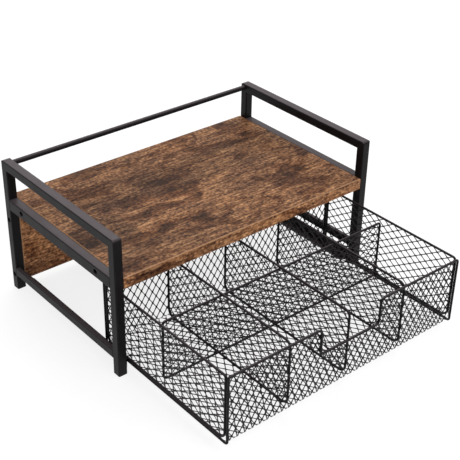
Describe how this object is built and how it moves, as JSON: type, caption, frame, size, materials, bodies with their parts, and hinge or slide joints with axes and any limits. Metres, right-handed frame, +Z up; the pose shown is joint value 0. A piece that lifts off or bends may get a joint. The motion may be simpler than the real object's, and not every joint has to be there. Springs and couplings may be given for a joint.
{
  "type": "tea bag drawer box",
  "caption": "Table stand of black square tube with a brown laminate top board and back panel, over a pull-out wire-mesh drawer divided into compartments for tea bags.",
  "frame": {"origin": "on the table surface, under the middle of the box around the stand and its open drawer, 88.25 mm in front of the middle of the stand's four feet", "axes": "+X to the right, +Y to the rear, +Z up, seen from the side the drawer opens on; the drawer is pulled out along -Y"},
  "size_m": [0.4, 0.4206, 0.187],
  "materials": {
    "powder_coat": "satin black powder coat",
    "drawer_coat": "satin black coat on rod and expanded metal",
    "laminate": "satin walnut-brown wood-grain laminate",
    "foot_plastic": "matte black",
    "screw_steel": "blackened"
  },
  "bodies": {
    "stand": {"left_front_leg": "powder_coat", "right_front_leg": "powder_coat", "left_rear_leg": "powder_coat", "right_rear_leg": "powder_coat", "left_top_rail": "powder_coat", "right_top_rail": "powder_coat", "left_middle_rail": "powder_coat", "right_middle_rail": "powder_coat", "left_bottom_rail": "powder_coat", "right_bottom_rail": "powder_coat", "rear_crossbar": "powder_coat", "foot_plugs": "foot_plastic", "top_board": "laminate", "back_panel": "laminate", "board_screws": "screw_steel", "panel_screws": "screw_steel", "left_runner": "powder_coat", "right_runner": "powder_coat", "left_guide": "powder_coat", "right_guide": "powder_coat", "guide_screws": "screw_steel"},
    "drawer": {"front_wire": "drawer_coat", "rear_wire": "drawer_coat", "left_side_wire": "drawer_coat", "right_side_wire": "drawer_coat", "left_divider_wire": "drawer_coat", "centre_divider_wire": "drawer_coat", "right_divider_wire": "drawer_coat", "cross_divider_wire": "drawer_coat", "front_mesh": "drawer_coat", "floor_mesh": "drawer_coat", "rear_mesh": "drawer_coat", "left_side_mesh": "drawer_coat", "right_side_mesh": "drawer_coat", "left_divider_mesh": "drawer_coat", "centre_divider_mesh": "drawer_coat", "right_divider_mesh": "drawer_coat", "cross_divider_mesh": "drawer_coat"}
  },
  "joints": [
    {"name": "drawer_slide", "type": "slide", "parent": "stand", "child": "drawer", "axis": [0, 1, 0], "range_m": [0, 0.1765]}
  ]
}
